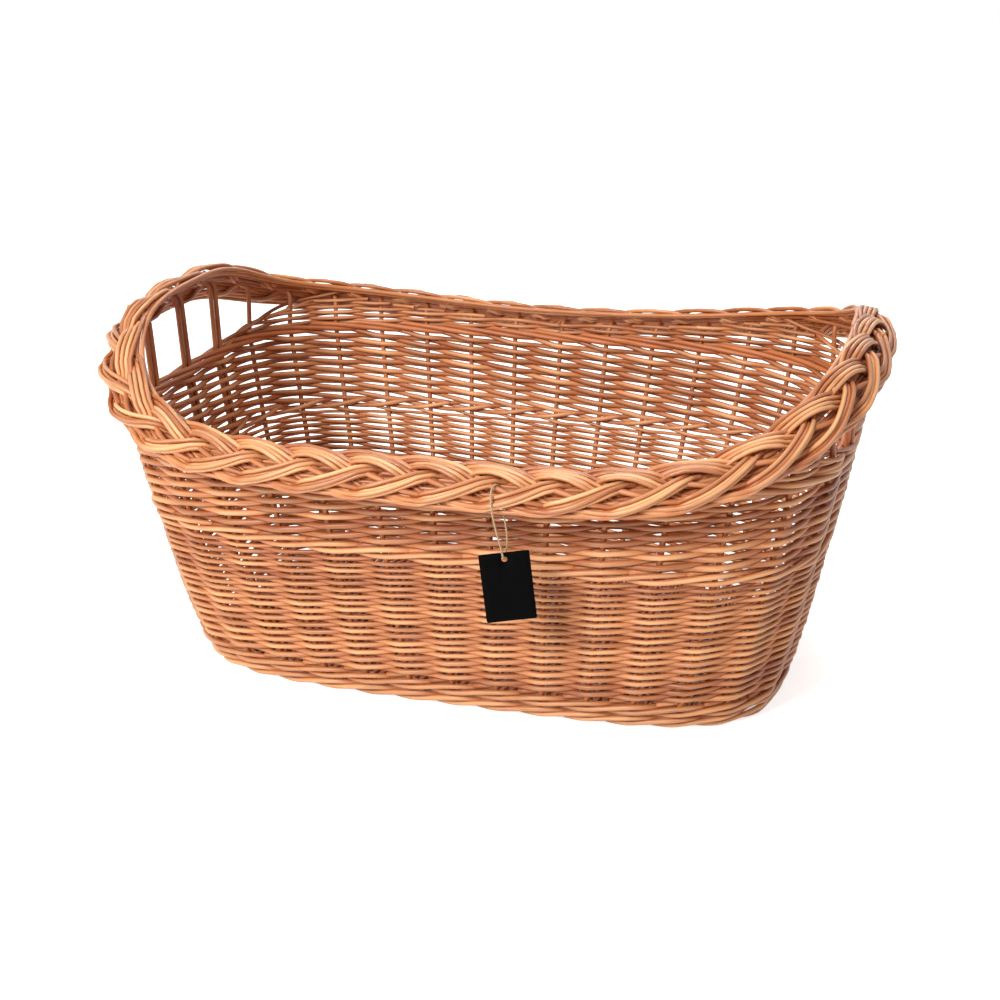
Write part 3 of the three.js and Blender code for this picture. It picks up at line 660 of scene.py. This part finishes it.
# A rod's middle passes a stake at this share of its own radius from it, since it beds in a little
WEAVER_OUT = 0.75
WEAVER_WANDER_UP = 0.7
WEAVER_WANDER_OUT = 0.4

# The last colour is the pale crown colour: partly wear and partly a painted highlight
siding_willow = willow_material("peeled_willow_weavers", "#90441B", "#D47F48", "#F9C28A", 0.35)


def randing(band):
    """Rod j at stake coordinate s has travelled t = s - j stakes. It has climbed the integral of a
    climb that falls evenly from the first to the last value, and stands in or out as a triangle wave
    of t with rounded corners, an arcsine of a cosine, which goes out faster than it comes in. Both
    ends are tucked into the neighbouring wale."""
    rng = np.random.default_rng(band["seed"])
    first, last = band["climb"]
    spans = (band["to"] - band["from"]) / ((first + last) / 2)
    steps = int(round((spans - WEAVER_START) * ROD_STEPS)) + 1
    travel = (np.arange(steps) / ROD_STEPS + WEAVER_START)[None] + np.zeros((STAKES, 1))
    stake = travel + np.arange(STAKES)[:, None]
    done = travel.clip(0) / spans
    climbed = travel.clip(0) * (first + (last - first) * done / 2) * WEAVER_CLIMBED
    last_part = np.clip((travel - travel.max() + WEAVER_TUCK) / WEAVER_TUCK, 0, 1)
    first_part = np.clip((WEAVER_START + WEAVER_TUCK - travel) / WEAVER_TUCK, 0, 1)
    height = band["from"] + WEAVER_FIRST_ROW + climbed + wobble(rng, STAKES, stake, WEAVER_WANDER_UP)
    height = height + WEAVER_END_SHIFT * (last_part - first_part)
    size = rng.uniform(1 - WEAVER_UNEVEN, 1 + WEAVER_UNEVEN, (STAKES, 1))
    butt, tip = band["radius"]
    radii = (butt + (tip - butt) * done) * size
    bent = travel - WEAVER_SKEW * np.sin(math.pi * travel) ** 2
    swing = -np.arcsin(WEAVER_CREASE * np.cos(math.pi * bent)) / math.asin(WEAVER_CREASE)
    out = swing * (STAKE_RADIUS + radii * WEAVER_OUT) * (1 - last_part) * (1 - first_part)
    out = out + wobble(rng, STAKES, stake, WEAVER_WANDER_OUT)
    return stake, height, out, radii, swing, rng.uniform(0, 1, STAKES)


for name, band in SIDING_BANDS.items():
    stake, height, out, radii, swing, tones = randing(band)
    piece = add_rods(
        f"woven_{name}", wall_point(stake, height, out), radii, outward(stake), tones,
        np.clip(0.25 + 0.75 * np.abs(swing), 0, 1), siding_willow, 8)
    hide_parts(name)


# Wales: rounds of three rods, each in front of two stakes and behind one, so that long strokes lie
# over the weave. Two rounds make the foot, and one parts the two sidings.
WALE_RADIUS = 2.2
WALE_SPREAD = 3.9
WALE_OUT = 0.9
WALE_WANDER = 0.3
WALE_UNEVEN = 0.12
# The last colour is the pale crown colour: partly wear and partly a painted highlight
wale_willow = willow_material("peeled_willow_wales", "#93461D", "#D6824B", "#F7BF88", 0.33)


def three_rod_round(middle, rng, shift):
    """One closed round: depth and height repeat every three stakes, a third apart for each rod."""
    stake = np.linspace(0, STAKES, STAKES * ROD_STEPS + 1)[None] + np.zeros((3, 1))
    phase = (stake - np.arange(3)[:, None] - shift) * 2 * math.pi / 3
    depth = 1 / 3 - np.cos(phase) - np.cos(2 * phase) / 3
    slow = stake * 2 * math.pi / STAKES * 3
    height = middle - WALE_SPREAD * np.sin(phase) + wobble(rng, 3, slow, WALE_WANDER)
    out = depth * (STAKE_RADIUS + WALE_RADIUS * WALE_OUT)
    radii = np.full(stake.shape, WALE_RADIUS) * (1 + wobble(rng, 3, slow, WALE_UNEVEN))
    return stake, height, out, radii, depth


def add_wale(name, node, middles, seed):
    """Several rounds of waling, as one piece."""
    rng = np.random.default_rng(seed)
    rounds = [three_rod_round(middle, rng, i) for i, middle in enumerate(middles)]
    stake, height, out, radii, depth = (np.concatenate(values) for values in zip(*rounds))
    piece = add_rods(
        name, wall_point(stake, height, out), radii, outward(stake),
        rng.uniform(0.2, 1, len(stake)), np.clip(0.2 + 0.8 * np.abs(depth), 0, 1),
        wale_willow, 10)
    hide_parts(node)


add_wale("waled_foot", "foot_wale", [6.6, 20.0], 41)
add_wale("waled_middle", "mid_wale", [155.5], 43)

# Top wale: four rods twisted, each in front of two stakes and behind two, which ends the siding. A
# sine and a little of its third harmonic give a stroke that stays level in front of two stakes
TOP_WALE_MIDDLE = 233.0
TOP_WALE_SPREAD = 3.1
TOP_WALE_RADIUS = 2.5
TOP_WALE_OUT = 2.2
TOP_WALE_WAVES = (1.247, 0.167)
chance = np.random.default_rng(47)
stake = np.linspace(0, STAKES, STAKES * ROD_STEPS + 1)[None] + np.zeros((4, 1))
phase = math.pi / 2 * (stake - np.arange(4)[:, None] - 0.5)
depth = TOP_WALE_WAVES[0] * np.sin(phase) + TOP_WALE_WAVES[1] * np.sin(3 * phase)
height = TOP_WALE_MIDDLE + TOP_WALE_SPREAD * np.cos(phase)
piece = add_rods(
    "waled_top", wall_point(stake, height, depth * (STAKE_RADIUS + TOP_WALE_OUT)),
    np.full(stake.shape, TOP_WALE_RADIUS), outward(stake), chance.uniform(0.3, 1, 4),
    np.clip(depth, 0, 1), wale_willow, 10)
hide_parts("top_wale")


# Packing: short rows of thin rods that fill the four corners between the level siding and the rising
# border. Each row ends where the wedge does, under two rods that run down the wedge's sloping edge.
PACKING_ROW = 2.9
PACKING_FIRST_ROW = 0.5
PACKING_CLIMB = 10.0
PACKING_START = 1.5
PACKING_IN_BORDER = 1.0
PACKING_RADIUS = 1.85
PACKING_WANDER = 0.6
PACKING_STEPS = 90
PACKING_EDGE_RODS = (0.6, 3.4)
PACKING_EDGE_BELOW = 4
PACKING_EDGE_ABOVE = 6
WEDGE_STEPS = 400
WEDGE_LEAST_STEPS = 20
PACKING_CORNERS = {"front_right": 27, "back_right": 9, "back_left": 9, "front_left": 27}


def packing_row(stake, height, turn, rng):
    """One row at the given heights, in front of every other stake."""
    swing = np.cos(math.pi * (stake + turn))
    height = height + wobble(rng, 1, stake[None], PACKING_WANDER)[0]
    return wall_point(stake, height, swing * (STAKE_RADIUS + PACKING_RADIUS)), swing, stake


def add_packing(corner, seed):
    """Rows at even heights, each as long as the wedge under the border is wide at its height, and two
    rods that run down the wedge's sloping edge over the ends of the rows."""
    rng = np.random.default_rng(seed)
    right = corner.endswith("right")
    front = corner.startswith("front")
    end = (STAKES if front else 0) if right else STAKES // 2
    side = PACKING_CORNERS[corner]
    fine = np.linspace(end, side, WEDGE_STEPS)
    slope = SIDING_TOP + PACKING_CLIMB * (np.abs(fine - end) - PACKING_START)
    under = border_height(fine) + PACKING_IN_BORDER
    room = np.minimum(under, slope)
    rows = []
    for row, height in enumerate(np.arange(SIDING_TOP + PACKING_FIRST_ROW, room.max(), PACKING_ROW)):
        inside = fine[room > height]
        if len(inside) >= WEDGE_LEAST_STEPS:
            stake = np.linspace(inside.min(), inside.max(), PACKING_STEPS)
            rows.append(packing_row(stake, np.full(PACKING_STEPS, height), row, rng))
    edge = fine[(slope > SIDING_TOP - PACKING_EDGE_BELOW) & (slope < under + PACKING_EDGE_ABOVE)]
    for row, lift in enumerate(PACKING_EDGE_RODS):
        stake = np.linspace(edge.min(), edge.max(), PACKING_STEPS)
        height = SIDING_TOP + PACKING_CLIMB * (np.abs(stake - end) - PACKING_START) + lift
        rows.append(packing_row(stake, height, row, rng))
    lines, swings, stakes = (np.array(values) for values in zip(*rows))
    piece = add_rods(
        f"packed_{corner}", lines, np.full(swings.shape, PACKING_RADIUS), outward(stakes),
        rng.uniform(0.1, 0.9, len(lines)), np.clip(0.25 + 0.75 * np.abs(swings), 0, 1),
        siding_willow, 8)
    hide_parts(f"packing_{corner}")


for number, corner in enumerate(PACKING_CORNERS):
    add_packing(corner, 53 + number)


# Border: the stakes and rods added to them, turned down and plaited into a thick braid of four
# strands, which leans outwards and rises over the hands. A strand of four rods comes over the inner
# edge, goes down the face, under its neighbours, and back up the face from below the outer edge.
PLAIT_REACH = 15.0
PLAIT_HALF_WIDTH = 23.5
PLAIT_FACE = 7.5
PLAIT_BACK = 5.5
PLAIT_EDGE_TILT = math.radians(42)
PLAIT_ROD_RADIUS = 1.9
PLAIT_ROD_APART = 3.8
PLAIT_WANDER = (0.35, 0.25)
PLAIT_STEPS = 16
# About the length of the border's middle line, which tells how steeply a strand runs
PLAIT_PERIMETER = 1780
# Larger than at the sides by these shares over the left and the right hand
PLAIT_FULLER_ENDS = (0.26, 0.06)
# Over (1) or under (-1) along a strand's way of four stakes
STRAND_DEPTHS = [
    (0, 0.65), (0.2, 0.9), (0.4, 1), (0.6, 0.9), (0.8, 0.45), (1, 0.1), (1.25, -0.4), (1.5, -0.85),
    (1.75, -0.7), (2, 0), (2.25, 0.8), (2.5, 1), (3, 1), (3.15, 0.7), (3.3, -0.1), (3.45, -0.6),
    (3.6, -0.5), (3.8, 0.2), (4, 0.65),
]
# Share of the way to the narrower bundle that goes up the face, with its fourth rod beneath
STRAND_NARROWS = [(0, 0), (1.0, 0), (1.8, 1), (3.3, 1), (3.7, 0), (4, 0)]
WIDE_BUNDLE = np.array([[-1.5, -0.5, 0.5, 1.5], [0, 0, 0, 0]])
NARROW_BUNDLE = np.array([[-1.0, 0.0, 1.0, 0.5], [0, 0, 0, 0.75]])
# The last colour is the pale crown colour: partly wear and partly a painted highlight
border_willow = willow_material("peeled_willow_border", "#9C4A20", "#DD8B50", "#FDCA92", 0.29)


def plait_size(stake):
    """How much larger the braid is than at the sides: fuller over the hands, most at the left end."""
    left = (1 - round_table(border_line, share_of(stake))[..., 0] / BORDER_PLAN[0]) / 2
    return 1 + end_share(stake) * (PLAIT_FULLER_ENDS[0] * left + PLAIT_FULLER_ENDS[1] * (1 - left))


def strand_table(entries, phase):
    """Value of a table that repeats every four stakes, eased between its entries."""
    knots, values = np.array(entries, float).T
    at = phase % 4
    low = np.clip(np.searchsorted(knots, at, "right") - 1, 0, len(knots) - 2)
    part = (at - knots[low]) / (knots[low + 1] - knots[low])
    return values[low] + (values[low + 1] - values[low]) * part * part * (3 - 2 * part)


def plait_depth(across, level):
    """A level of 1 is the crowned face, -1 the crowned back: circles' arcs that meet at the edges."""
    arc = np.sqrt(np.clip(1 - (across / PLAIT_HALF_WIDTH) ** 2, 0.05, 1))
    return level * np.where(level > 0, PLAIT_FACE, PLAIT_BACK) * arc


for strand in range(4):
    chance = np.random.default_rng(61 + strand)
    stake = np.linspace(0, STAKES, STAKES * PLAIT_STEPS + 1)
    phase = stake - strand
    fuller = plait_size(stake)
    level = strand_table(STRAND_DEPTHS, phase)
    across = PLAIT_REACH * np.cos(math.pi / 2 * phase)
    depth = plait_depth(across, level)
    spacing = np.gradient(share_of(stake) * PLAIT_PERIMETER, stake)
    way = unit(np.stack([np.ones_like(stake), np.gradient(across, stake) / spacing,
                         np.gradient(depth, stake) / spacing], -1))
    turn = PLAIT_EDGE_TILT * level * np.cos(math.pi / 2 * phase)
    flat = np.stack([np.zeros_like(turn), np.sin(turn), np.cos(turn)], -1)
    flat = unit(flat - (flat * way).sum(-1, keepdims=True) * way)
    beside = np.cross(way, flat)
    narrow = strand_table(STRAND_NARROWS, phase)
    lines, facings = [], []
    for i in range(4):
        sideways, under = WIDE_BUNDLE[:, i, None] * (1 - narrow) + NARROW_BUNDLE[:, i, None] * narrow
        sideways = PLAIT_ROD_APART * sideways + wobble(chance, 1, stake[None] * 2, PLAIT_WANDER[0])[0]
        under = PLAIT_ROD_APART * under + wobble(chance, 1, stake[None] * 2.3, PLAIT_WANDER[1])[0]
        shift = sideways[:, None] * beside + under[:, None] * flat
        rod_stake = stake + shift[:, 0] / spacing
        rod_across = (across + shift[:, 1]) * fuller
        rod_depth = (depth + shift[:, 2]) * fuller
        lines.append(border_point(rod_stake, rod_across, rod_depth))
        facings.append(border_direction(
            rod_stake, rod_across / PLAIT_HALF_WIDTH ** 2, (rod_depth + 0.01) / PLAIT_FACE ** 2))
    piece = add_rods(
        f"plaited_strand_{strand + 1}", np.array(lines), np.full((4, len(stake)), PLAIT_ROD_RADIUS),
        unit(np.array(facings)), chance.uniform(0, 1, 4), np.clip(0.3 + 0.7 * np.abs(level), 0, 1),
        border_willow, 10)
    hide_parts("plaited_border")


# Tips of the stakes run on inside the braid, side by side, and fill it between the strands. Each
# place is across the face and out of it
CORE_PLACES = (
    (-16.5, -2.5), (-12.5, -2), (-8.5, -1), (-4.5, -0.5), (-0.5, -0.5),
    (3.5, -0.5), (7.5, -1), (11.5, -2), (15.5, -2.5), (19, -3),
)
CORE_ROD_RADIUS = 2.0
CORE_WANDER = 1.6
chance = np.random.default_rng(67)
stake = np.linspace(0, STAKES, STAKES * ROD_STEPS + 1)
fuller = plait_size(stake)
lines, facings = [], []
for across, depth in CORE_PLACES:
    waves = wobble(chance, 2, stake[None] * 2 * math.pi / STAKES * 5, CORE_WANDER)
    lines.append(border_point(stake, (across + waves[0]) * fuller, (depth + waves[1] / 2) * fuller))
    facings.append(border_direction(stake, np.zeros_like(stake), np.ones_like(stake)))
piece = add_rods(
    "border_core", np.array(lines), np.full((len(lines), len(stake)), CORE_ROD_RADIUS), np.array(facings),
    chance.uniform(0, 1, len(lines)), 0.5, border_willow, 8)
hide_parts("plaited_border")


# Base: thin rods woven across six long sticks, over one and under the next, out to the foot
UPWARDS = [0.0, 0.0, 1.0]
BASE_STICK_RADIUS = 2.9
BASE_STICK_STEPS = 60
BASE_STICK_REACH = (195.5, 222.3, 226.7, 226.7, 222.3, 195.5)
BASE_STICK_FIRST = -103.0
BASE_STICK_STEP = 41.2
BASE_ROD_RADIUS = 2.0
BASE_ROD_APART = 3.7
BASE_ROD_OUT = 0.6
BASE_ROD_STEPS = 72
BASE_EDGE = 1.5
# The last colour is the pale crown colour: partly wear and partly a painted highlight
base_willow = willow_material("peeled_willow_base", "#783718", "#B66739", "#D49562", 0.43)
chance = np.random.default_rng(71)
for i, reach in enumerate(BASE_STICK_REACH):
    x = np.linspace(-reach, reach, BASE_STICK_STEPS)
    y = BASE_STICK_FIRST + BASE_STICK_STEP * i + wobble(chance, 1, x[None] / 30, 0.7)[0]
    line = np.stack([x, y, np.full_like(x, BASE_MIDDLE)], -1)[None]
    piece = add_rods(
        f"base_stick_rod_{i + 1}", line, np.full(line.shape[:2], BASE_STICK_RADIUS),
        np.broadcast_to(UPWARDS, line.shape), [0.4], 0.3, base_willow, 12)
    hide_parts(f"base_stick_{i + 1}")

foot_inside = (FOOT_PLAN[0] - BASE_EDGE, FOOT_PLAN[1] - BASE_EDGE)
base_x = np.arange(1 - foot_inside[0], foot_inside[0], BASE_ROD_APART)
base_half = foot_inside[1] * (1 - np.abs(base_x / foot_inside[0]) ** FOOT_PLAN[2]) ** (1 / FOOT_PLAN[2])
base_y = np.linspace(-1, 1, BASE_ROD_STEPS)[None] * base_half[:, None]
parity = np.arange(len(base_x))[:, None]
base_swing = np.cos(math.pi * ((base_y - BASE_STICK_FIRST) / BASE_STICK_STEP + parity))
base_lines = np.stack([
    base_x[:, None] + wobble(chance, len(base_x), base_y / 20, 0.8),
    base_y,
    BASE_MIDDLE + base_swing * (BASE_STICK_RADIUS + BASE_ROD_RADIUS * BASE_ROD_OUT)], -1)
piece = add_rods(
    "woven_base", base_lines, np.full(base_y.shape, BASE_ROD_RADIUS),
    np.broadcast_to(UPWARDS, base_lines.shape), chance.uniform(0, 1, len(base_x)),
    np.clip(base_swing, 0, 1), base_willow, 8)
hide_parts("base_mat")


# Floor and background: a plain pale floor that keeps the basket's shadow and turns white away from it
FLOOR_HALF = 6.0
FLOOR_COLOUR = "#F4F3F2"
# How far the paper is lifted to white, near the basket and away from it, and where in metres
FLOOR_LIFT = {"From Min": 0.2, "From Max": 0.55, "To Min": 0.72, "To Max": 0.85}
# The lift sets in between these two measures of the foot's oval
FLOOR_UNDER_BASKET = {"From Min": 0.75, "From Max": 0.98}
WORLD_LIGHT = 0.25
floor_mesh = bpy.data.meshes.new("floor")
floor_mesh.from_pydata([(-FLOOR_HALF, -FLOOR_HALF, 0), (FLOOR_HALF, -FLOOR_HALF, 0),
                        (FLOOR_HALF, FLOOR_HALF, 0), (-FLOOR_HALF, FLOOR_HALF, 0)], [], [(0, 1, 2, 3)])
floor = bpy.data.objects.new("floor", floor_mesh)
bpy.context.scene.collection.objects.link(floor)


def background_seen(tree):
    """1 for a ray from the camera, a reflection or through glass, and 0 for light on the basket."""
    path = add_node(tree, "ShaderNodeLightPath")
    seen = add_node(tree, "ShaderNodeMath", {
        0: path.outputs["Is Camera Ray"], 1: path.outputs["Is Glossy Ray"]}, operation="MAXIMUM")
    seen_all = add_node(tree, "ShaderNodeMath", {
        0: seen.outputs[0], 1: path.outputs["Is Transmission Ray"]}, operation="MAXIMUM")
    return seen_all.outputs[0]


# White studio paper: matt, lifted to white where the camera sees it lit, and less so under the basket
floor_material, tree, output = new_material("matt_studio_paper")
paper = add_node(tree, "ShaderNodeBsdfDiffuse", {"Color": linear(FLOOR_COLOUR)})
place = add_node(tree, "ShaderNodeTexCoord").outputs["Object"]
away = add_node(tree, "ShaderNodeVectorMath", {0: place}, operation="LENGTH")
lift = add_node(tree, "ShaderNodeMapRange", {"Value": away.outputs["Value"], **FLOOR_LIFT})
# Under the basket the paper stays as dark as it is. The foot's oval is told by the sum of the fourth
# powers of its shares of the half length and half width, which is 1 on the oval
shares = add_node(tree, "ShaderNodeVectorMath", {
    0: place, 1: (FOOT_PLAN[0] * MM, FOOT_PLAN[1] * MM, 1.0)}, operation="DIVIDE").outputs[0]
squares = add_node(tree, "ShaderNodeVectorMath", {0: shares, 1: shares}, operation="MULTIPLY").outputs[0]
measure = add_node(tree, "ShaderNodeVectorMath", {0: squares, 1: squares}, operation="DOT_PRODUCT")
clear = add_node(tree, "ShaderNodeMapRange", {"Value": measure.outputs["Value"], **FLOOR_UNDER_BASKET})
open_lift = add_node(tree, "ShaderNodeMath", {0: lift.outputs[0], 1: clear.outputs[0]}, operation="MULTIPLY")
lifted = add_node(tree, "ShaderNodeMath", {
    0: background_seen(tree), 1: open_lift.outputs[0]}, operation="MULTIPLY")
glow = add_node(tree, "ShaderNodeEmission", {"Color": (1, 1, 1, 1), "Strength": lifted.outputs[0]})
floor_shader = add_node(tree, "ShaderNodeAddShader", {0: paper.outputs[0], 1: glow.outputs[0]})
tree.links.new(floor_shader.outputs[0], output.inputs["Surface"])
floor_mesh.materials.append(floor_material)

world = bpy.data.worlds.new("studio")
bpy.context.scene.world = world
world.use_nodes = True
tree = world.node_tree
tree.nodes.clear()
strength = add_node(tree, "ShaderNodeMapRange", {"Value": background_seen(tree), "To Min": WORLD_LIGHT})
background = add_node(tree, "ShaderNodeBackground", {"Color": (1, 1, 1, 1), "Strength": strength.outputs[0]})
add_node(tree, "ShaderNodeOutputWorld", {"Surface": background.outputs[0]})


def add_lamp(name, place, size, power):
    """A square soft box at a place in metres, turned to the basket's middle."""
    data = bpy.data.lights.new(name, "AREA")
    data.size = size
    data.energy = power
    lamp = bpy.data.objects.new(name, data)
    bpy.context.scene.collection.objects.link(lamp)
    lamp.location = place
    lamp.rotation_euler = (Vector((0, 0, 0.15)) - Vector(place)).to_track_quat("-Z", "Y").to_euler()


add_lamp("key", (-0.8, -2.1, 1.6), 0.9, 62)
add_lamp("top", (0.1, -0.2, 2.4), 1.4, 16)
add_lamp("back", (-0.2, 2.3, 1.6), 1.2, 16)

bpy.context.scene.view_settings.view_transform = "Standard"
